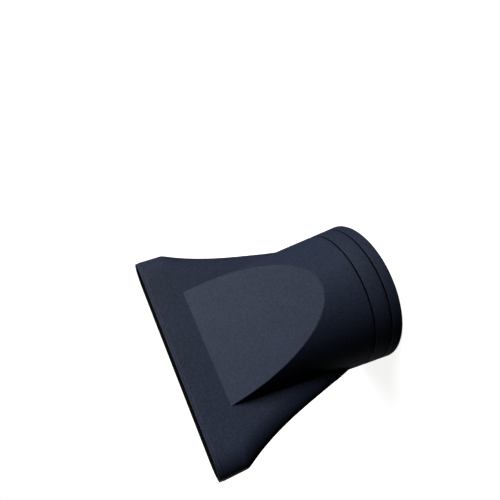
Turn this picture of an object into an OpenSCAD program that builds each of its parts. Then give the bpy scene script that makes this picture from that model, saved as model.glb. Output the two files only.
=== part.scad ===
// Concentrator nozzle for a hand-held hair dryer, standing on its collar with the air mouth up.
// The collar grips the dryer's nose, and the fan-shaped body turns on the collar's inner sleeve.
// Origin: centre of the collar's end face. +Z runs along the nozzle's axis to the mouth,
// +X along the mouth's width, +Y across its thickness. All sizes are in millimetres.

/* [Overall] */
// Height from the collar's end face to the mouth
total_h = 79; // [78:0.5:86]
// Outside diameter of the collar at its end face
collar_d = 56; // [56:0.1:57]
// Wall thickness of the moulded body
wall_t = 2; // [1.6:0.1:2.2]

/* [Barrel] */
// Taper of the collar and the barrel, each side, in degrees
taper_deg = 4.2; // [3.8:0.1:4.3]
// Height of the tip of each flat ramp on the barrel
ramp_tip_z = 25.6; // [25.6:0.2:29]
// Distance from each ramp's foot up to the mouth
ramp_foot_drop = 12; // [11:0.5:14]

/* [Fan] */
// Outside width of the mouth
mouth_w = 84.5; // [80:0.5:88]
// Outside thickness of the mouth
mouth_t = 11.5; // [11:0.1:13]
// Height of the straight lip below the mouth
lip_h = 10.5; // [9:0.5:11]
// Lean of each broad face, in degrees: the fan is thinner towards the collar
face_lean_deg = 1.7; // [1:0.1:2]
// Depth of the rounded side edges, measured across the fan's width
edge_round = 8; // [7:0.5:9]
// Wall thickness at the mouth, where the duct opens out
lip_wall = 1.2; // [1.1:0.1:1.6]
// Height of the thinner lip that stands round the mouth
lip_step_h = 1.1; // [0.8:0.1:1.5]
// Depth of the small step below that lip
lip_step = 0.15; // [0.1:0.05:0.2]
// Rounding of the mouth's outer edge
lip_round = 0.3; // [0.2:0.1:0.5]

/* [Collar rings] */
// Height of the end ring
end_ring_h = 4.3; // [4.1:0.1:4.6]
// Height of the middle band
band_h = 6.5; // [6.3:0.1:6.7]
// Width of the groove on each side of the middle band
groove_w = 0.5; // [0.4:0.1:0.8]
// Depth of the groove
groove_depth = 1.1; // [0.9:0.1:1.2]
// Height of the shallow bevel on the mouth side of each groove
bevel_h = 1.5; // [1.2:0.1:1.5]
// Depth of that bevel
bevel_depth = 0.1; // [0.05:0.05:0.3]
// Wall of the end ring at the end face
ring_wall = 2.4; // [2.3:0.1:2.5]

/* [Dryer socket] */
// Bore of the grip collet, which clamps the dryer's nose
socket_d = 44.8; // [44.6:0.1:45]
// Number of slots that part the collet into fingers
finger_slots = 12; // [8:1:14]
// Width of each slot
slot_w = 1.2; // [0.8:0.1:1.4]
// Depth at which the dryer's nose meets the seal
socket_depth = 18.5; // [18.5:0.1:18.8]

/* [Swivel] */
// Radius of the body's bore over the sleeve
swivel_bore_r = 24.6; // [24.55:0.01:24.65]
// Running clearance between the sleeve and that bore, radial
running_gap = 0.05; // [0.03:0.01:0.08]

/* [Hidden] */
$fn = 128;

BODY_BLACK = "#2d3441";
COLLAR_BLACK = "#2b313c";
INNER_BLACK = "#202227";
SILICONE_GREY = "#4a4c50";
SLIP_GRAPHITE = "#303236";
SPRING_STEEL = "#a9adb2";

fit_gap = 0.05;               // radial and axial gap between two pieces that don't move
collar_r = collar_d / 2;
socket_r = socket_d / 2;

// Heights of the collar's stack, from the end face up
band_z0 = end_ring_h + groove_w;
band_z1 = band_z0 + band_h;
body_z0 = band_z1 + groove_w;

// Barrel and ramps: the outside of the collar and the barrel is one cone
ramp_foot_z = total_h - ramp_foot_drop;
function barrel_r(z) = collar_r - z * tan(taper_deg);
function face_y(z) = mouth_t / 2 - (total_h - z) * tan(face_lean_deg);
ramp_slope = (barrel_r(ramp_tip_z) - face_y(ramp_foot_z)) / (ramp_foot_z - ramp_tip_z);
function ramp_y(z) = face_y(ramp_foot_z) + (ramp_foot_z - z) * ramp_slope;
ramp_wall = wall_t * sqrt(1 + ramp_slope * ramp_slope);
buried = 4.5;                 // how far the barrel runs on inside the fan, past the ramps' feet

// Fan outline: a Bezier curve from inside the barrel out to the shoulder under the lip
fan_z0 = 18;
shoulder_z = total_h - lip_h;
root_w = collar_r - 2;
waist_w = mouth_w * 0.371;
hip_w = mouth_w * 0.3865;
function bezier(a, b, c, d, t) =
    a * pow(1 - t, 3) + 3 * b * t * pow(1 - t, 2) + 3 * c * t * t * (1 - t) + d * pow(t, 3);
function flare(t) = bezier(root_w, waist_w, hip_w, mouth_w / 2, t);
flare_rings = 16;
lip_rings = 3;
edge_steps = 9;               // segments in a quarter of a rounded side edge

// One ring of the fan is [z, half width, half thickness, depth of the side rounding]
function lip_ring(drop, inset) = let (z = total_h - drop)
    [z, mouth_w / 2 - inset, face_y(z) - inset, edge_round - inset];
function outer_rings() = concat(
    [for (i = [0 : flare_rings]) let (t = i / flare_rings, z = fan_z0 + t * (shoulder_z - fan_z0))
        [z, flare(t), face_y(z), edge_round]],
    [lip_ring(lip_step_h + lip_step, 0), lip_ring(lip_step_h, lip_step)],
    [for (i = [0 : lip_rings]) let (a = 90 * i / lip_rings)
        lip_ring(lip_round * (1 - sin(a)), lip_step + lip_round * (1 - cos(a)))]);
side_wall = wall_t * 1.1;     // the flared side walls lean, so they are cut wider
duct_z0 = 22;
function inner_rings() = concat(
    [for (i = [0 : flare_rings]) let (z = duct_z0 + (i / flare_rings) * (shoulder_z - duct_z0),
        t = (z - fan_z0) / (shoulder_z - fan_z0))
        [z, flare(t) - side_wall, face_y(z) - wall_t, edge_round - wall_t]],
    [[total_h + 1, mouth_w / 2 - lip_wall, face_y(total_h) - lip_wall, edge_round - lip_wall]]);

ring_edge = 0.1;              // chamfer on the two outer rings

// Grip parts
finger_r = socket_r + 1.2;
collet_z0 = 1.8;
finger_h = 6.6;
collet_z1 = 10;
spring_wire = 1.1;
spring_z = collet_z0 + 2.2;
spring_seat = 0.3;            // how deep the wire sits in the fingers
spring_ring_r = finger_r - spring_seat + spring_wire / 2;

// Sleeve
sleeve_r = collar_r - ring_wall;
housing_r = spring_ring_r + spring_wire / 2 + 0.1;
housing_z1 = collet_z1 + 0.2;
journal_r = swivel_bore_r - running_gap;
passage_r = socket_r + 0.5;
ledge_r = passage_r - 1.5;
ledge_z0 = socket_depth + 1.8;
sleeve_z1 = ledge_z0 + 1.2;

// Retaining ring and friction ring
clip_z0 = 18.6;
clip_h = 1.2;
clip_floor_r = journal_r - 0.8;
clip_r = swivel_bore_r + 0.5;
cord_d = 0.9;
cord_z = 16;
cord_ring_r = journal_r - cord_d / 2 - 0.02;

// Ring section turned about Z: inner radius, outer radius, foot height, height
module tube(r_in, r_out, z, h) {
    translate([0, 0, z])
        difference() {
            cylinder(h = h, r = r_out);
            translate([0, 0, -1]) cylinder(h = h + 2, r = r_in);
        }
}

// Groove cut round the outside of a shaft
module shaft_groove(floor_r, shaft_r, z, h) {
    tube(floor_r, shaft_r + 1, z, h);
}

// Solid lofted through rings of four rounded quarters each
module fan_loft(rings) {
    count = 4 * (edge_steps + 1);
    points = [for (ring = rings) for (quarter = [0 : 3]) for (s = [0 : edge_steps])
        let (a = quarter * 90 + 90 * s / edge_steps, side = (quarter == 0 || quarter == 3) ? 1 : -1)
        [side * (ring[1] - ring[3]) + ring[3] * cos(a), ring[2] * sin(a), ring[0]]];
    top = (len(rings) - 1) * count;
    sides = [for (k = [0 : len(rings) - 2]) for (i = [0 : count - 1]) let (j = (i + 1) % count)
        [k * count + i, (k + 1) * count + i, (k + 1) * count + j, k * count + j]];
    polyhedron(points, concat([[for (i = [0 : count - 1]) i]], sides,
        [[for (i = [count - 1 : -1 : 0]) top + i]]));
}

// Prism between two opposed ramps; inset moves both ramps inwards
module ramp_prism(z0, inset) {
    top_z = ramp_foot_z + buried;
    reach = collar_r + 4;
    turn_z = ramp_foot_z - (reach + inset - face_y(ramp_foot_z)) / ramp_slope;
    rotate([90, 0, 90])
        linear_extrude(2 * reach, center = true)
            polygon([[-reach, z0], [reach, z0], [reach, turn_z], [ramp_y(top_z) - inset, top_z],
                [inset - ramp_y(top_z), top_z], [-reach, turn_z]]);
}

// Tapered barrel, solid, with a bevel on its lower outer edge
module barrel() {
    top_z = ramp_foot_z + buried;
    rotate_extrude()
        polygon([[0, body_z0], [barrel_r(body_z0) - bevel_depth, body_z0],
            [barrel_r(body_z0 + bevel_h), body_z0 + bevel_h], [barrel_r(top_z), top_z], [0, top_z]]);
}

// Moulded body: tapered barrel cut by two ramps, run into a flat fan
module nozzle_body() {
    color(BODY_BLACK)
        difference() {
            union() {
                intersection() {
                    barrel();
                    ramp_prism(body_z0 - 1, 0);
                }
                fan_loft(outer_rings());
            }
            intersection() {
                translate([0, 0, duct_z0 - 0.5])
                    cylinder(h = ramp_foot_z + buried - duct_z0, r1 = barrel_r(duct_z0) - wall_t,
                        r2 = barrel_r(ramp_foot_z + buried) - wall_t);
                ramp_prism(body_z0 - 1, ramp_wall);
            }
            fan_loft(inner_rings());
            translate([0, 0, body_z0 - 1]) cylinder(h = duct_z0 - body_z0 + 1, r = swivel_bore_r);
            translate([0, 0, clip_z0 - 0.15]) cylinder(h = clip_h + 0.3, r = clip_r + 0.2);
        }
}

// Outer ring between the two grooves, pressed on the sleeve
module middle_band() {
    color(COLLAR_BLACK)
        rotate_extrude()
            polygon([[sleeve_r + fit_gap, band_z0 + fit_gap],
                [barrel_r(band_z0) - bevel_depth, band_z0 + fit_gap],
                [barrel_r(band_z0 + bevel_h), band_z0 + bevel_h], [barrel_r(band_z1), band_z1 - ring_edge],
                [barrel_r(band_z1) - ring_edge, band_z1], [sleeve_r + fit_gap, band_z1]]);
}

// Closing ring on the dryer's side, with a flange that holds the collet in
module end_ring() {
    foot_round = 0.6;
    lead_in = 1;
    color(COLLAR_BLACK)
        rotate_extrude()
            polygon(concat(
                [for (a = [0 : 15 : 90]) [collar_r - foot_round + foot_round * sin(a),
                    foot_round * (1 - cos(a))]],
                [[barrel_r(end_ring_h), end_ring_h - ring_edge],
                    [barrel_r(end_ring_h) - ring_edge, end_ring_h],
                    [sleeve_r + fit_gap, end_ring_h], [sleeve_r + fit_gap, collet_z0],
                    [passage_r + 0.1, collet_z0], [passage_r + 0.1, lead_in * 0.8],
                    [passage_r + 0.1 + lead_in, 0]]));
}

// Inner sleeve: housing for the collet below, journal for the body above
module swivel_sleeve() {
    color(INNER_BLACK)
        difference() {
            union() {
                tube(housing_r, sleeve_r, collet_z0 + fit_gap, band_z1 - collet_z0 - fit_gap);
                tube(housing_r, barrel_r(end_ring_h) - groove_depth, end_ring_h + fit_gap,
                    groove_w - fit_gap);
                tube(passage_r, sleeve_r, housing_z1, band_z1 - housing_z1);
                tube(passage_r, journal_r, band_z1 - 0.5, sleeve_z1 - band_z1 + 0.5);
                tube(ledge_r, passage_r + 0.5, ledge_z0, sleeve_z1 - ledge_z0);
            }
            shaft_groove(cord_ring_r - cord_d / 2 - fit_gap, journal_r, cord_z - 0.55, 1.1);
            shaft_groove(clip_floor_r, journal_r, clip_z0 - fit_gap, clip_h + 2 * fit_gap);
        }
}

// Slotted collet whose fingers clamp the dryer's nose
module grip_collet() {
    color(INNER_BLACK)
        difference() {
            union() {
                tube(socket_r, finger_r, collet_z0 + fit_gap, collet_z1 - collet_z0 - fit_gap);
                tube(socket_r, housing_r - fit_gap, collet_z0 + finger_h, collet_z1 - collet_z0 - finger_h);
            }
            rotate_extrude() translate([spring_ring_r, spring_z]) circle(d = spring_wire + 0.1, $fn = 32);
            for (k = [0 : finger_slots - 1])
                rotate([0, 0, 360 * (k + 0.5) / finger_slots])
                    translate([socket_r - 1, -slot_w / 2, 0])
                        cube([4, slot_w, collet_z0 + finger_h - 0.8]);
        }
}

// Split wire ring that squeezes the collet's fingers
module grip_spring() {
    split_deg = 16;
    color(SPRING_STEEL) {
        rotate([0, 0, split_deg / 2])
            rotate_extrude(angle = 360 - split_deg)
                translate([spring_ring_r, spring_z]) circle(d = spring_wire, $fn = 32);
        for (side = [-1, 1])
            rotate([0, 0, side * split_deg / 2])
                translate([spring_ring_r, 0, spring_z]) sphere(d = spring_wire, $fn = 32);
    }
}

// Silicone ring that the end of the dryer's nose presses on
module nose_seal() {
    color(SILICONE_GREY)
        rotate_extrude()
            polygon([[ledge_r + 0.2, ledge_z0 - fit_gap], [ledge_r + 0.2, socket_depth + 0.5],
                [ledge_r + 0.6, socket_depth], [passage_r - fit_gap - 0.3, socket_depth],
                [passage_r - fit_gap, socket_depth + 0.4], [passage_r - fit_gap, ledge_z0 - fit_gap]]);
}

// Silicone cord ring that gives the swivel its drag
module friction_ring() {
    color(SILICONE_GREY)
        rotate_extrude() translate([cord_ring_r, cord_z]) circle(d = cord_d, $fn = 32);
}

// Slip washer between the collar and the turning body
module thrust_washer() {
    color(SLIP_GRAPHITE)
        tube(journal_r + 0.1, barrel_r(band_z1) - groove_depth, band_z1 + 0.02, groove_w - 0.12);
}

// Split ring that snaps into the body's inner groove and holds it on the sleeve
module retaining_ring() {
    gap_w = 5;
    color(SPRING_STEEL)
        difference() {
            tube(clip_floor_r + fit_gap, clip_r, clip_z0, clip_h);
            translate([clip_floor_r - 1, -gap_w / 2, clip_z0 - 1]) cube([4, gap_w, clip_h + 2]);
        }
}

nozzle_body();
middle_band();
end_ring();
swivel_sleeve();
grip_collet();
grip_spring();
nose_seal();
friction_ring();
thrust_washer();
retaining_ring();
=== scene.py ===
import math

import bpy
import numpy as np
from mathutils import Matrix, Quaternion, Vector


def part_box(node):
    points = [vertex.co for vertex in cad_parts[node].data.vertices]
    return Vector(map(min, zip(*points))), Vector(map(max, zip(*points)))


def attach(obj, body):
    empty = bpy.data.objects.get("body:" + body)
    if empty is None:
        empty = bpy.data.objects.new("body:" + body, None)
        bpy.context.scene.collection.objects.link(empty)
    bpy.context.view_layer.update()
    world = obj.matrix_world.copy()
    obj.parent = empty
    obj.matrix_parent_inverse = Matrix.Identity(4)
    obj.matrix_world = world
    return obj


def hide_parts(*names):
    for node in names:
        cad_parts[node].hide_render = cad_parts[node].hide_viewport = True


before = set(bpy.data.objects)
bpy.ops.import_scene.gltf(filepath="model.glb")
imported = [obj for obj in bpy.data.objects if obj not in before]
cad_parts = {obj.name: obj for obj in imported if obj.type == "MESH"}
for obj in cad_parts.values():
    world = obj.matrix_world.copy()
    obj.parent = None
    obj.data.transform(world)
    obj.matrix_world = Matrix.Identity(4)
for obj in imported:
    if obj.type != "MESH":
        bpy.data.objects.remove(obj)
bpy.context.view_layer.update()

MM = 0.001

# ---------------------------------------------------------------------------
# Sizes in metres: the frame gives the outer ones, the rest repeat the design
# ---------------------------------------------------------------------------
body_low, body_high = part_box("nozzle_body")
ring_low, ring_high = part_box("end_ring")
band_low, band_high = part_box("middle_band")
sleeve_low, sleeve_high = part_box("swivel_sleeve")
collet_low, collet_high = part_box("grip_collet")
seal_low, seal_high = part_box("nose_seal")
washer_low, washer_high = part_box("thrust_washer")

TOTAL_H = body_high.z
BODY_Z0 = body_low.z
COLLAR_R = ring_high.x
MOUTH_HALF_W = body_high.x

# Barrel and its flat ramps
TAPER = math.tan(math.radians(4.2))
RAMP_TIP_Z = 25.6 * MM
RAMP_FOOT_Z = TOTAL_H - 12 * MM
RAMP_EDGE = 0.18 * MM

# Fan: where it starts and comes out of the barrel, its flare, and its straight part at the mouth
FAN_Z0 = 18 * MM
FAN_EXIT_Z = 22.5 * MM
FLARE_START_R = COLLAR_R - 2 * MM
FLARE_PULL = (0.742, 0.773)
SHOULDER_Z = TOTAL_H - 10.5 * MM
SHOULDER_SOFT = 0.6 * MM
MOUTH_HALF_T = 5.75 * MM
FACE_LEAN = math.tan(math.radians(1.7))
EDGE_ROUND = 8 * MM

# Fillet beside the fan's root, which the CAD model lacks
ROOT_FILLET = 3.5 * MM
ROOT_BLEND_H = 8 * MM
ROOT_END_Z = 40 * MM
ROOT_COS = 0.85

# Stepped lip round the mouth
LIP_ROUND = 0.3 * MM
LIP_STEP_H = 1.1 * MM
LIP_STEP = 0.15 * MM
LIP_HOLD = 0.05 * MM
INNER_LIP_ROUND = 0.2 * MM
LIP_WALL = 1.2 * MM

# Duct, and the bore below it that turns on the sleeve, with its groove (radius, foot, top)
WALL = 2 * MM
SIDE_WALL = 2.2 * MM
DUCT_Z0 = 22 * MM
DUCT_EDGE = 0.5 * MM
SWIVEL_BORE_R = 24.6 * MM
CLIP_GROOVE = (25.3 * MM, 18.45 * MM, 19.95 * MM)

# Two grooves between the collar's rings and the body, each with a bevel on its mouth side
GROOVE_DEPTH = 1.1 * MM
BEVEL_H = 1.5 * MM
BEVEL_DEPTH = 0.1 * MM
RING_EDGE = 0.12 * MM
BAND_FOOT_EDGE = 0.15 * MM

# Pieces inside the collar
SLEEVE_R = 25.6 * MM
JOURNAL_R = 24.55 * MM
PASSAGE_R = 22.9 * MM
LEDGE_R = 21.4 * MM
LEDGE_Z0 = 20.3 * MM
HOUSING_R = 24.5 * MM
HOUSING_Z1 = 10.2 * MM
SOCKET_R = 22.4 * MM
FINGER_R = 23.6 * MM
FINGER_TOP_Z = 8.4 * MM
FINGERS = 12
SLOT_W = 1.2 * MM
SPRING_R = 23.85 * MM
SPRING_Z = 4 * MM
SPRING_WIRE = 1.1 * MM
SPRING_SPLIT = math.radians(16)

# Clearance between fixed pieces, and the usual rounding of a small edge
FIT_GAP = 0.05 * MM
SOFT_EDGE = 0.2 * MM

# Numbers of the finishes on one skin: 0 is its outside, 1 a darker colour painted as shade in the duct and
# on the groove walls, 2 a lighter colour painted as a highlight on the bevels beside the grooves
PAINTED_SHADE, PAINTED_HIGHLIGHT = 1, 2


# ---------------------------------------------------------------------------
# Mesh helpers
# ---------------------------------------------------------------------------
def soft_max(a, b, k):
    """The larger of a and b, blended over k where they cross: a filleted inner corner."""
    h = np.clip(k - np.abs(a - b), 0, None)
    return np.maximum(a, b) + h * h / (4 * k)


def soft_min(a, b, k):
    """The smaller of a and b, blended over k where they cross: a rounded outer corner."""
    return -soft_max(-a, -b, k)


def bezier(a, b, c, d, t):
    """Value at t of the cubic curve with control values a, b, c and d."""
    return a * (1 - t) ** 3 + 3 * b * t * (1 - t) ** 2 + 3 * c * t * t * (1 - t) + d * t**3


def mesh_object(name, verts, faces):
    """New smooth-shaded mesh object, linked to the scene."""
    mesh = bpy.data.meshes.new(name)
    mesh.from_pydata(verts, [], faces)
    mesh.update()
    mesh.shade_smooth()
    piece = bpy.data.objects.new(name, mesh)
    bpy.context.scene.collection.objects.link(piece)
    return piece


def ring_faces(rings, around, closed_profile):
    """Quads that join each ring of points to the next, and the last to the first if asked."""
    faces = []
    for k in range(rings if closed_profile else rings - 1):
        low, high = k * around, (k + 1) % rings * around
        for i in range(around):
            j = (i + 1) % around
            faces.append((low + i, low + j, high + j, high + i))
    return faces


def spread(start, end, count, marks):
    """Count places from start to end, closer together near each mark (place, width, weight)."""
    fine = np.linspace(start, end, 4000)
    density = np.ones_like(fine)
    for place, width, weight in marks:
        density += weight * np.exp(-(((fine - place) / width) ** 2))
    total = np.concatenate([[0], np.cumsum((density[1:] + density[:-1]) / 2)])
    return np.interp(np.linspace(0, total[-1], count), total, fine)


def use_finish(piece, finish, test):
    """Gives the numbered finish to the faces whose middle and normal pass the test."""
    for polygon in piece.data.polygons:
        if test(polygon.center, polygon.normal):
            polygon.material_index = finish


def rounded(profile, steps=5):
    """Closed outline in (radius, height) with each corner (r, z, fillet) rounded by its fillet."""
    points = []
    count = len(profile)
    for k, (r, z, fillet) in enumerate(profile):
        corner = np.array([r, z])
        if fillet == 0:
            points.append(corner)
            continue
        before = np.array(profile[k - 1][:2]) - corner
        after = np.array(profile[(k + 1) % count][:2]) - corner
        u, v = before / np.linalg.norm(before), after / np.linalg.norm(after)
        half = math.acos(np.clip(u @ v, -1, 1)) / 2
        reach = fillet / math.tan(half)
        centre = corner + (u + v) / np.linalg.norm(u + v) * fillet / math.sin(half)
        a, b = corner + u * reach - centre, corner + v * reach - centre
        turn = math.pi - 2 * half
        for s in range(steps + 1):
            t = s / steps
            mix = (a * math.sin((1 - t) * turn) + b * math.sin(t * turn)) / math.sin(turn)
            points.append(centre + mix)
    return np.array(points)


def lathe(name, profile, around=360):
    """Closed profile turned about Z. The profile runs clockwise seen with the radius to the right."""
    points = rounded(profile)
    angles = np.arange(around) * 2 * math.pi / around
    verts = [(r * math.cos(a), r * math.sin(a), z) for r, z in points for a in angles]
    return mesh_object(name, verts, ring_faces(len(points), around, True))


# ---------------------------------------------------------------------------
# Nozzle body: one closed skin, up the outside, over the lip and down the duct
# ---------------------------------------------------------------------------
def barrel_r(z):
    """Radius of the tapered barrel and collar at height z."""
    return COLLAR_R - z * TAPER


def face_y(z):
    """Half thickness of the fan between its broad faces at height z."""
    return MOUTH_HALF_T - (TOTAL_H - z) * FACE_LEAN


RAMP_SLOPE = (barrel_r(RAMP_TIP_Z) - face_y(RAMP_FOOT_Z)) / (RAMP_FOOT_Z - RAMP_TIP_Z)


def ramp_y(z):
    """Distance from the axis to the flat ramp at height z."""
    return face_y(RAMP_FOOT_Z) + (RAMP_FOOT_Z - z) * RAMP_SLOPE


def fan_half_width(z):
    """Half width of the fan at height z: it flares up to the shoulder, then is straight."""
    t = max(0.0, (z - FAN_Z0) / (SHOULDER_Z - FAN_Z0))
    pulls = [MOUTH_HALF_W * pull for pull in FLARE_PULL]
    flared = bezier(FLARE_START_R, pulls[0], pulls[1], MOUTH_HALF_W, t)
    return float(soft_min(flared, MOUTH_HALF_W, SHOULDER_SOFT))


def oval_radius(theta, half_w, half_t, end):
    """Distance from the axis, along theta, to a flat oval whose ends are half ellipses."""
    c, s = np.abs(np.cos(theta)), np.maximum(np.abs(np.sin(theta)), 1e-9)
    flat = half_t / s
    middle = half_w - end
    a = (c / end) ** 2 + (s / half_t) ** 2
    b = -2 * c * middle / end**2
    k = (middle / end) ** 2 - 1
    curved = (-b + np.sqrt(np.maximum(b * b - 4 * a * k, 0))) / (2 * a)
    return np.where(flat * c <= middle, flat, curved)


def duct_walls(z):
    """Wall of the broad faces and of the sides at height z: both thin out towards the mouth."""
    t = min(1.0, max(0.0, (z - SHOULDER_Z) / (TOTAL_H - SHOULDER_Z)))
    return WALL + (LIP_WALL - WALL) * t, SIDE_WALL + (LIP_WALL - SIDE_WALL) * t


def root_fillet(theta, z):
    """Extra fillet where the sides of the fan grow out of the barrel: none on the broad faces."""
    beside = np.clip((np.abs(np.cos(theta)) - ROOT_COS) / (1 - ROOT_COS), 0, 1)
    grows = (z - FAN_Z0) / ROOT_BLEND_H
    fades = (ROOT_END_Z - z) / ROOT_BLEND_H
    return ROOT_FILLET * beside * min(1.0, max(0.0, min(grows, fades)))


def section(theta, z, wall, side_wall, fan_from, edge):
    """Outline of the body at height z, inset by its walls (zero walls give the outside).

    The fan takes part from the height fan_from up, and edge softens the corners.
    """
    s = np.maximum(np.abs(np.sin(theta)), 1e-9)
    ramp = (ramp_y(z) - wall * math.sqrt(1 + RAMP_SLOPE**2)) / s
    least = 0.5 * MM
    barrel = soft_min(np.full_like(theta, barrel_r(z) - wall), np.maximum(ramp, least), edge)
    if z < fan_from:
        return barrel
    oval = oval_radius(theta, fan_half_width(z) - side_wall, face_y(z) - wall, EDGE_ROUND - wall)
    return soft_max(barrel, oval, edge + (root_fillet(theta, z) if wall == 0 else 0))


def crossing(z, wall, side_wall):
    """Angles, in the first quadrant, of the ramp's edge and of the line where fan meets barrel."""
    r = barrel_r(z) - wall
    h = ramp_y(z) - wall * math.sqrt(1 + RAMP_SLOPE**2)
    ramp_edge = math.asin(min(1.0, max(h / r, 0.0)))
    theta = np.linspace(0.001, 1.2, 600)
    oval = oval_radius(theta, fan_half_width(z) - side_wall, face_y(z) - wall, EDGE_ROUND - wall)
    outside = np.nonzero(oval > r)[0]
    fan_edge = theta[outside[-1]] if len(outside) else 0.0
    return ramp_edge, fan_edge


# How finely the body's skin is divided
AROUND = 480
LIP_STEPS = 6
OUTER_RINGS = 190
DUCT_RINGS = 110

# Where the rings of the outside and of the duct crowd: (height, width, weight)
OUTER_MARKS = [(BODY_Z0 + BEVEL_H, 0.5 * MM, 3), (RAMP_TIP_Z, 2 * MM, 3), (FAN_EXIT_Z, 1.5 * MM, 3),
               (RAMP_FOOT_Z, 0.8 * MM, 7), (SHOULDER_Z, 1 * MM, 5)]
DUCT_MARKS = [(RAMP_FOOT_Z - 3 * MM, 2 * MM, 3), (SHOULDER_Z, 1 * MM, 3), (DUCT_Z0 + 4 * MM, 3 * MM, 2)]


def ring_angles(z, wall, side_wall):
    """Angles round the axis, crowded where the outline at height z has its corners."""
    ramp_edge, fan_edge = crossing(z, wall, side_wall)
    quarter = math.pi / 2
    marks = [(ramp_edge, 0.035, 7), (fan_edge, 0.03, 6), (0.0, 0.14, 3)]
    first = spread(0, quarter, AROUND // 4 + 1, marks)
    rising, falling = first[:-1], first[:0:-1]
    return np.concatenate([rising, math.pi - falling, math.pi + rising, 2 * math.pi - falling])


def lip_ring(inset, drop):
    """Ring round the mouth, inset from the outline and dropped below the mouth's plane."""
    z = TOTAL_H - drop
    theta = ring_angles(TOTAL_H, 0, 0)
    return theta, oval_radius(theta, MOUTH_HALF_W - inset, face_y(z) - inset, EDGE_ROUND - inset), z


def body_rings():
    """Rings of (angles, radii, height) in order, and the number of the one where the duct's painted shade
    starts, on the upper part of the lip's outer round.
    """
    rings = []

    def plain(radius, z, near):
        rings.append((ring_angles(near, 0, 0), np.full(AROUND, radius), z))

    foot_r = barrel_r(BODY_Z0) - BEVEL_DEPTH
    bevel_top = BODY_Z0 + BEVEL_H
    lip_foot = TOTAL_H - LIP_STEP_H - LIP_STEP
    plain(foot_r - BAND_FOOT_EDGE, BODY_Z0, BODY_Z0)
    plain(foot_r, BODY_Z0 + BAND_FOOT_EDGE, BODY_Z0)
    for z in spread(BODY_Z0 + 2 * BAND_FOOT_EDGE, lip_foot - LIP_HOLD, OUTER_RINGS, OUTER_MARKS):
        theta = ring_angles(z, 0, 0)
        radii = section(theta, z, 0, 0, FAN_Z0, RAMP_EDGE)
        if z < bevel_top:
            radii = np.minimum(radii, barrel_r(z) - BEVEL_DEPTH * (bevel_top - z) / BEVEL_H)
        rings.append((theta, radii, z))
    rings.append(lip_ring(0, LIP_STEP_H + LIP_STEP))
    rings.append(lip_ring(LIP_STEP, LIP_STEP_H))
    rings.append(lip_ring(LIP_STEP, LIP_STEP_H - LIP_HOLD))
    turns = [math.pi / 2 * k / LIP_STEPS for k in range(LIP_STEPS + 1)]
    for a in turns:
        inset = LIP_STEP + LIP_ROUND * (1 - math.cos(a))
        rings.append(lip_ring(inset, LIP_ROUND * (1 - math.sin(a))))
    # The near-black colour painted as the shade inside the mouth starts on the upper part of the lip's
    # outer round, so the lip's top is painted dark too
    shade_start = len(rings) - LIP_STEPS // 2
    for a in turns:
        inset = LIP_WALL - INNER_LIP_ROUND * (1 - math.sin(a))
        rings.append(lip_ring(inset, INNER_LIP_ROUND * (1 - math.cos(a))))
    duct_top = TOTAL_H - 0.8 * MM
    for z in spread(DUCT_Z0, duct_top, DUCT_RINGS, DUCT_MARKS)[::-1]:
        wall, side_wall = duct_walls(z)
        theta = ring_angles(z, wall, side_wall)
        rings.append((theta, section(theta, z, wall, side_wall, DUCT_Z0, DUCT_EDGE), z))
    groove_r, groove_z0, groove_z1 = CLIP_GROOVE
    bore = [(SWIVEL_BORE_R, DUCT_Z0), (SWIVEL_BORE_R, groove_z1), (groove_r, groove_z1),
            (groove_r, groove_z0), (SWIVEL_BORE_R, groove_z0),
            (SWIVEL_BORE_R, BODY_Z0 + SOFT_EDGE), (SWIVEL_BORE_R + SOFT_EDGE, BODY_Z0)]
    for radius, z in bore:
        plain(radius, z, DUCT_Z0)
    return rings, shade_start


def make_body():
    rings, shade_start = body_rings()
    verts = []
    for a, r, z in rings:
        verts += np.stack([r * np.cos(a), r * np.sin(a), np.full(AROUND, z)], 1).tolist()
    body = mesh_object("nozzle_body_skin", verts, ring_faces(len(rings), AROUND, True))
    # Faces from there on, over the lip's top and down the duct, get the near-black colour painted as shade
    for polygon in body.data.polygons[shade_start * AROUND:]:
        polygon.material_index = PAINTED_SHADE

    # The bevel at the body's foot gets a lighter colour painted as a highlight
    def on_bevel_highlight(middle, normal):
        return middle.z < BODY_Z0 + BEVEL_H and middle.xy.length > SLEEVE_R

    use_finish(body, PAINTED_HIGHLIGHT, on_bevel_highlight)
    return body


# ---------------------------------------------------------------------------
# Collar pieces
# ---------------------------------------------------------------------------
def in_groove_shade(middle, normal):
    """True for the flat faces that look into a groove, which get a dark colour painted as shade."""
    return abs(normal.z) > 0.9 and middle.z > BEVEL_H


def make_end_ring():
    low, top = ring_low.z, ring_high.z
    seat_r = SLEEVE_R + FIT_GAP
    lip_r = PASSAGE_R + 0.1 * MM
    lip_top = low + 1.8 * MM
    ring = lathe("end_ring_skin", [
        (COLLAR_R, low, 0.55 * MM), (barrel_r(top), top, RING_EDGE), (seat_r, top, 0),
        (seat_r, lip_top, 0), (lip_r, lip_top, SOFT_EDGE), (lip_r, low + 0.8 * MM, SOFT_EDGE),
        (lip_r + 1 * MM, low, SOFT_EDGE)])
    # The walls that face into the groove are painted dark as shade
    use_finish(ring, PAINTED_SHADE, in_groove_shade)
    return ring


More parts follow.
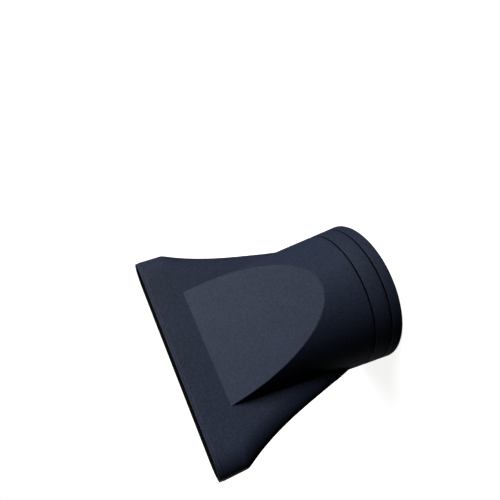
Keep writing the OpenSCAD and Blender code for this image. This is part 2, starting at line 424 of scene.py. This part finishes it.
def make_middle_band():
    low, top = band_low.z, band_high.z
    bevel_top = low + BEVEL_H
    seat_r = SLEEVE_R + FIT_GAP
    band = lathe("middle_band_skin", [
        (seat_r, low, 0), (barrel_r(low) - BEVEL_DEPTH, low, BAND_FOOT_EDGE),
        (barrel_r(bevel_top), bevel_top, 0.5 * MM), (barrel_r(top), top, RING_EDGE), (seat_r, top, 0)])

    # The bevel at the band's foot gets a lighter colour painted as a highlight
    def on_bevel_highlight(middle, normal):
        return middle.z < bevel_top and middle.xy.length > SLEEVE_R + 1 * MM

    use_finish(band, PAINTED_HIGHLIGHT, on_bevel_highlight)
    # The walls that face into the groove are painted dark as shade
    use_finish(band, PAINTED_SHADE, in_groove_shade)
    return band


def make_sleeve():
    low, top = sleeve_low.z, sleeve_high.z
    step = band_high.z
    rib_r = barrel_r(ring_high.z) - GROOVE_DEPTH
    rib_low, rib_top = ring_high.z + FIT_GAP, band_low.z - FIT_GAP
    return lathe("swivel_sleeve_skin", [
        (HOUSING_R, low, 0), (SLEEVE_R, low, 0), (SLEEVE_R, rib_low, 0), (rib_r, rib_low, 0),
        (rib_r, rib_top, 0), (SLEEVE_R, rib_top, 0), (SLEEVE_R, step, 0), (JOURNAL_R, step, 0),
        (JOURNAL_R, top, SOFT_EDGE), (LEDGE_R, top, SOFT_EDGE), (LEDGE_R, LEDGE_Z0, SOFT_EDGE),
        (PASSAGE_R, LEDGE_Z0, 0), (PASSAGE_R, HOUSING_Z1, SOFT_EDGE), (HOUSING_R, HOUSING_Z1, 0)])


def make_washer():
    bore_r, outer_r = JOURNAL_R + 0.1 * MM, washer_high.x
    low, top = washer_low.z, washer_high.z
    return lathe("thrust_washer_skin", [
        (bore_r, low, 0), (outer_r, low, SOFT_EDGE), (outer_r, top, SOFT_EDGE), (bore_r, top, 0)])


def make_seal():
    low, top = seal_low.z, seal_high.z
    inner, outer = LEDGE_R + 0.2 * MM, PASSAGE_R - FIT_GAP
    return lathe("nose_seal_skin", [
        (inner, low + 0.5 * MM, SOFT_EDGE), (inner + 0.4 * MM, low, SOFT_EDGE),
        (outer - 0.3 * MM, low, SOFT_EDGE), (outer, low + 0.4 * MM, 0.1 * MM),
        (outer, top, 0), (inner, top, 0)])


def box_cutter(x0, x1, y, z0, z1, turn):
    """Box from x0 to x1, -y to y and z0 to z1, turned about Z, as (verts, faces)."""
    corners = [(x, w, z) for x in (x0, x1) for w in (-y, y) for z in (z0, z1)]
    c, s = math.cos(turn), math.sin(turn)
    verts = [(x * c - w * s, x * s + w * c, z) for x, w, z in corners]
    return verts, [(0, 1, 3, 2), (4, 6, 7, 5), (0, 4, 5, 1), (2, 3, 7, 6), (0, 2, 6, 4), (1, 5, 7, 3)]


def cut(piece, cutters):
    """Subtracts every (verts, faces) cutter from the piece, and leaves no modifier or cutter behind."""
    verts, faces = [], []
    for cutter_verts, cutter_faces in cutters:
        faces += [tuple(len(verts) + i for i in f) for f in cutter_faces]
        verts += cutter_verts
    tool = mesh_object("cutter", verts, faces)
    subtract = piece.modifiers.new("slots", "BOOLEAN")
    subtract.operation = "DIFFERENCE"
    subtract.solver = "EXACT"
    subtract.object = tool
    graph = bpy.context.evaluated_depsgraph_get()
    made = bpy.data.meshes.new_from_object(piece.evaluated_get(graph))
    piece.modifiers.clear()
    piece.data = made
    bpy.data.objects.remove(tool)


def make_collet():
    low, top = collet_low.z, collet_high.z
    flange_r = HOUSING_R - FIT_GAP
    seat_r = FINGER_R - 0.3 * MM
    groove = SPRING_WIRE / 2
    tip_edge, throat_edge = 0.1 * MM, 0.3 * MM
    collet = lathe("grip_collet_skin", [
        (SOCKET_R + 0.4 * MM, low, 0), (FINGER_R - 0.2 * MM, low, tip_edge),
        (FINGER_R, low + 0.3 * MM, tip_edge), (FINGER_R, SPRING_Z - groove, 0),
        (seat_r, SPRING_Z - groove / 2, 0), (seat_r, SPRING_Z + groove / 2, 0),
        (FINGER_R, SPRING_Z + groove, 0), (FINGER_R, FINGER_TOP_Z, SOFT_EDGE),
        (flange_r, FINGER_TOP_Z, tip_edge), (flange_r, top, SOFT_EDGE),
        (SOCKET_R, top, throat_edge), (SOCKET_R, low + 0.6 * MM, throat_edge)], around=288)
    beyond = 1 * MM
    slot_top = FINGER_TOP_Z - 0.8 * MM
    turns = [2 * math.pi * (k + 0.5) / FINGERS for k in range(FINGERS)]
    cut(collet, [box_cutter(SOCKET_R - beyond, HOUSING_R + beyond, SLOT_W / 2, low - beyond, slot_top, turn)
                 for turn in turns])
    collet.data.shade_smooth()
    collet.data.set_sharp_from_angle(angle=math.radians(35))
    return collet


def make_spring():
    """Split wire ring with domed ends."""
    around, sides, dome = 220, 16, 6
    wire = SPRING_WIRE / 2
    rings = []
    for k in range(dome):
        a = math.pi / 2 * (k + 0.05) / dome
        rings.append((SPRING_SPLIT / 2 - wire * math.cos(a) / SPRING_R, wire * math.sin(a)))
    for k in range(around + 1):
        rings.append((SPRING_SPLIT / 2 + (2 * math.pi - SPRING_SPLIT) * k / around, wire))
    for k in reversed(range(dome)):
        a = math.pi / 2 * (k + 0.05) / dome
        rings.append((2 * math.pi - SPRING_SPLIT / 2 + wire * math.cos(a) / SPRING_R, wire * math.sin(a)))
    verts = []
    for turn, radius in rings:
        for s in range(sides):
            b = 2 * math.pi * s / sides
            r = SPRING_R + radius * math.cos(b)
            verts.append((r * math.cos(turn), r * math.sin(turn), SPRING_Z + radius * math.sin(b)))
    last = (len(rings) - 1) * sides
    faces = ring_faces(len(rings), sides, False)
    faces += [tuple(reversed(range(sides))), tuple(last + s for s in range(sides))]
    return mesh_object("grip_spring_skin", verts, faces)


# ---------------------------------------------------------------------------
# Materials
# ---------------------------------------------------------------------------
# Colour sockets of a Mix node, whose names repeat for each type of data
MIX_A, MIX_B, MIX_RESULT = 6, 7, 2

# Most of a noise node's values lie between these
NOISE_LOW, NOISE_HIGH = 0.3, 0.7

# Heights of the bumps that stand for the grain of the surfaces
COARSE_GRAIN = 0.04 * MM
SEAL_GRAIN = 0.03 * MM
FINE_GRAIN = 0.02 * MM


def new_material(name):
    """New node material, with its parts and the socket of its object coordinates."""
    material = bpy.data.materials.new(name)
    material.use_nodes = True
    nodes, links = material.node_tree.nodes, material.node_tree.links
    shader = nodes["Principled BSDF"]
    where = nodes.new("ShaderNodeTexCoord")
    return material, nodes, links, shader, where.outputs["Object"]


def noise(nodes, links, place, scale, detail=3, roughness=0.5):
    """Noise over the surface, at scale features per metre."""
    node = nodes.new("ShaderNodeTexNoise")
    node.inputs["Scale"].default_value = scale
    node.inputs["Detail"].default_value = detail
    node.inputs["Roughness"].default_value = roughness
    links.new(place, node.inputs["Vector"])
    return node.outputs["Fac"]


def ramp_between(nodes, links, value, low, high, dark, light):
    """Colour that goes from dark to light as the value goes from low to high."""
    node = nodes.new("ShaderNodeValToRGB")
    node.color_ramp.elements[0].position = low
    node.color_ramp.elements[1].position = high
    node.color_ramp.elements[0].color = (*dark, 1)
    node.color_ramp.elements[1].color = (*light, 1)
    links.new(value, node.inputs["Fac"])
    return node.outputs["Color"]


def remap(nodes, links, value, low, high):
    """The value, which runs from 0 to 1, spread from low to high."""
    node = nodes.new("ShaderNodeMapRange")
    node.inputs["To Min"].default_value = low
    node.inputs["To Max"].default_value = high
    links.new(value, node.inputs["Value"])
    return node.outputs["Result"]


def bumps(nodes, links, layers):
    """Chains bump nodes; each layer is (height, strength, distance in metres)."""
    normal = None
    for height, strength, distance in layers:
        node = nodes.new("ShaderNodeBump")
        node.inputs["Strength"].default_value = strength
        node.inputs["Distance"].default_value = distance
        links.new(height, node.inputs["Height"])
        if normal is not None:
            links.new(normal, node.inputs["Normal"])
        normal = node.outputs["Normal"]
    return normal


def tinted(nodes, links, value, colour, amount):
    """The colour made darker and lighter by the amount as the value goes from low to high."""
    dark = tuple(c * (1 - amount) for c in colour)
    light = tuple(c * (1 + amount) for c in colour)
    return ramp_between(nodes, links, value, NOISE_LOW, NOISE_HIGH, dark, light)


def multiplied(nodes, links, a, b):
    """Product of two colours."""
    node = nodes.new("ShaderNodeMix")
    node.data_type = "RGBA"
    node.blend_type = "MULTIPLY"
    node.inputs["Factor"].default_value = 1
    links.new(a, node.inputs[MIX_A])
    links.new(b, node.inputs[MIX_B])
    return node.outputs[MIX_RESULT]


def moulded_plastic(name, colour, rough, grain, specular=0.18):
    """Matt moulded plastic: spark-eroded grain, mottled colour and slightly uneven polish."""
    material, nodes, links, shader, place = new_material(name)
    drift = tinted(nodes, links, noise(nodes, links, place, 70, 4, 0.6), colour, 0.07)
    mottle = tinted(nodes, links, noise(nodes, links, place, 1500, 3, 0.7), (1, 1, 1), 0.34)
    links.new(multiplied(nodes, links, drift, mottle), shader.inputs["Base Color"])
    polish = noise(nodes, links, place, 25, 3, 0.6)
    uneven = 0.05
    links.new(remap(nodes, links, polish, rough - uneven, rough + uneven), shader.inputs["Roughness"])
    shader.inputs["Specular IOR Level"].default_value = specular
    fine = noise(nodes, links, place, 4200, 2, 0.6)
    coarse = noise(nodes, links, place, 1500, 3, 0.5)
    layers = [(coarse, grain * 0.7, COARSE_GRAIN), (fine, grain, FINE_GRAIN)]
    links.new(bumps(nodes, links, layers), shader.inputs["Normal"])
    return material


def spring_steel(name):
    """Bright wire with fine, dull and bright streaks."""
    material, nodes, links, shader, place = new_material(name)
    shader.inputs["Metallic"].default_value = 1
    streak = noise(nodes, links, place, 900, 4, 0.6)
    dull, bright = (0.42, 0.43, 0.45), (0.62, 0.63, 0.65)
    metal = ramp_between(nodes, links, streak, NOISE_LOW, NOISE_HIGH, dull, bright)
    links.new(metal, shader.inputs["Base Color"])
    links.new(remap(nodes, links, streak, 0.24, 0.38), shader.inputs["Roughness"])
    links.new(bumps(nodes, links, [(streak, 0.2, FINE_GRAIN)]), shader.inputs["Normal"])
    return material


def silicone(name):
    """Dark grey rubber, clouded and slightly dusty."""
    material, nodes, links, shader, place = new_material(name)
    cloud = noise(nodes, links, place, 300, 3, 0.5)
    dark, light = (0.060, 0.062, 0.068), (0.078, 0.080, 0.086)
    rubber = ramp_between(nodes, links, cloud, NOISE_LOW, NOISE_HIGH, dark, light)
    links.new(rubber, shader.inputs["Base Color"])
    links.new(remap(nodes, links, cloud, 0.5, 0.62), shader.inputs["Roughness"])
    shader.inputs["Sheen Weight"].default_value = 0.2
    links.new(bumps(nodes, links, [(cloud, 0.15, SEAL_GRAIN)]), shader.inputs["Normal"])
    return material


BODY_COLOUR = (0.0256, 0.0342, 0.0625)
COLLAR_COLOUR = (0.0252, 0.0328, 0.0570)
# Lighter colour painted on the bevels beside the grooves as a highlight
BEVEL_HIGHLIGHT_COLOUR = (0.0290, 0.0372, 0.0640)
# Dark colour painted on the groove walls as shade
GROOVE_SHADE_COLOUR = (0.0110, 0.0135, 0.0210)
INNER_COLOUR = (0.0140, 0.0145, 0.0170)
# Near-black colour painted over the duct and the lip's top as the shade inside the mouth
DUCT_SHADE_COLOUR = (0.0035, 0.0036, 0.0040)

# The materials of each slot, in the order of their numbers on a skin: outside, then the colour painted as
# shade in the duct and grooves, then the colour painted as a highlight on the bevels
FINISH = {
    "body_plastic": [moulded_plastic("body_plastic", BODY_COLOUR, 0.58, 0.35),
                     moulded_plastic("body_inside_painted_shade", DUCT_SHADE_COLOUR, 0.75, 0.1, 0.04),
                     moulded_plastic("body_bevel_painted_highlight", BEVEL_HIGHLIGHT_COLOUR, 0.5, 0.3)],
    "collar_plastic": [moulded_plastic("collar_plastic", COLLAR_COLOUR, 0.55, 0.35),
                       moulded_plastic("collar_groove_painted_shade", GROOVE_SHADE_COLOUR, 0.75, 0.1, 0.08),
                       moulded_plastic("collar_bevel_painted_highlight", BEVEL_HIGHLIGHT_COLOUR, 0.5, 0.3)],
    "inner_plastic": [moulded_plastic("inner_plastic", INNER_COLOUR, 0.35, 0.2)],
    "slip_plastic": [moulded_plastic("slip_plastic", INNER_COLOUR, 0.5, 0.2)],
    "spring_steel": [spring_steel("spring_steel")],
    "silicone": [silicone("silicone")],
}

# (function, CAD node that the skin replaces, body that it rides on, slot)
SKINS = [
    (make_body, "nozzle_body", "nozzle", "body_plastic"),
    (make_middle_band, "middle_band", "collar", "collar_plastic"),
    (make_end_ring, "end_ring", "collar", "collar_plastic"),
    (make_sleeve, "swivel_sleeve", "collar", "inner_plastic"),
    (make_collet, "grip_collet", "collar", "inner_plastic"),
    (make_spring, "grip_spring", "collar", "spring_steel"),
    (make_seal, "nose_seal", "collar", "silicone"),
    (make_washer, "thrust_washer", "collar", "slip_plastic"),
]
for make, node, body, slot in SKINS:
    skin = make()
    for material in FINISH[slot]:
        skin.data.materials.append(material)
    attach(skin, body)
    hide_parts(node)

# Two CAD nodes keep their shape and get a better material
for node, slot in (("friction_ring", "silicone"), ("retaining_ring", "spring_steel")):
    hidden_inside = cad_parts[node]
    hidden_inside.data.materials.clear()
    hidden_inside.data.materials.append(FINISH[slot][0])


# ---------------------------------------------------------------------------
# Floor, light and camera
# ---------------------------------------------------------------------------
FLOOR_HALF = 3.0
GLOW_NEAR, GLOW_FAR = 0.04, 0.16
GLOW_LOW, GLOW_FULL = 0.82, 1.0
LAMP_DISTANCE = 0.8
LAMP_SIZE = 0.45


def make_floor():
    """Pale floor whose own glow grows from the nozzle outwards, until it is white."""
    half = FLOOR_HALF
    corners = [(-half, -half, 0), (half, -half, 0), (half, half, 0), (-half, half, 0)]
    floor = mesh_object("floor", corners, [(0, 1, 2, 3)])
    material, nodes, links, shader, place = new_material("pale_floor")
    tone = noise(nodes, links, place, 8, 2)
    grey, pale = (0.93, 0.93, 0.93), (0.95, 0.95, 0.95)
    links.new(ramp_between(nodes, links, tone, 0.4, 0.6, grey, pale), shader.inputs["Base Color"])
    shader.inputs["Roughness"].default_value = 0.9
    shader.inputs["Specular IOR Level"].default_value = 0.1
    shader.inputs["Emission Color"].default_value = (1, 1, 1, 1)
    away = nodes.new("ShaderNodeVectorMath")
    away.operation = "LENGTH"
    links.new(place, away.inputs[0])
    glow = nodes.new("ShaderNodeMapRange")
    glow.inputs["From Min"].default_value = GLOW_NEAR
    glow.inputs["From Max"].default_value = GLOW_FAR
    glow.inputs["To Min"].default_value = GLOW_LOW
    glow.inputs["To Max"].default_value = GLOW_FULL
    links.new(away.outputs["Value"], glow.inputs["Value"])
    links.new(glow.outputs["Result"], shader.inputs["Emission Strength"])
    floor.data.materials.append(material)
    floor.visible_diffuse = False
    floor.visible_glossy = False


def soft_light(name, direction, power, colour=(1, 1, 1)):
    """Round area light that faces the nozzle's middle from the given direction."""
    aim = Vector((0, 0, TOTAL_H / 2))
    data = bpy.data.lights.new(name, "AREA")
    data.shape = "DISK"
    data.size = LAMP_SIZE
    data.energy = power
    data.color = colour
    lamp = bpy.data.objects.new(name, data)
    towards = Vector(direction).normalized()
    lamp.location = aim + towards * LAMP_DISTANCE
    lamp.rotation_mode = "QUATERNION"
    lamp.rotation_quaternion = towards.to_track_quat("Z", "Y")
    bpy.context.scene.collection.objects.link(lamp)


make_floor()
soft_light("key_left", (-0.62, 0.40, 0.67), 4.0)
soft_light("key_front", (-0.52, 0.83, 0.17), 3.1)
soft_light("overhead", (-0.3, 0.3, 0.91), 1.8)
soft_light("rim", (0.49, -0.85, 0.17), 2.1, (1, 0.94, 0.84))

# White behind the floor's far edge, seen by the camera but lighting nothing
world = bpy.data.worlds.new("studio")
bpy.context.scene.world = world
world.use_nodes = True
world.node_tree.nodes["Background"].inputs["Color"].default_value = (1, 1, 1, 1)
world.node_tree.nodes["Background"].inputs["Strength"].default_value = 1.0
world.cycles_visibility.diffuse = False
world.cycles_visibility.glossy = False
bpy.context.scene.view_settings.view_transform = "Standard"

# The camera looks from above the mouth on one broad side, rolled so that the mouth is low on the left
CAMERA_AT = Vector((0.0509, 0.1757, 0.0990))
CAMERA_AIM = Vector((-0.0302, 0.0, 0.0259))
CAMERA_ROLL = math.radians(-108.5)
CAMERA_LENS = 35.9
CAMERA_SENSOR = 36
CAMERA_SHIFT = -0.04
camera_data = bpy.data.cameras.new("camera")
camera_data.lens = CAMERA_LENS
camera_data.sensor_width = CAMERA_SENSOR
camera_data.shift_x = CAMERA_SHIFT
camera_data.clip_start = 0.01
camera = bpy.data.objects.new("camera", camera_data)
camera.location = CAMERA_AT
camera.rotation_mode = "QUATERNION"
level = (CAMERA_AIM - CAMERA_AT).to_track_quat("-Z", "Y")
camera.rotation_quaternion = level @ Quaternion((0, 0, 1), CAMERA_ROLL)
bpy.context.scene.collection.objects.link(camera)
bpy.context.scene.camera = camera
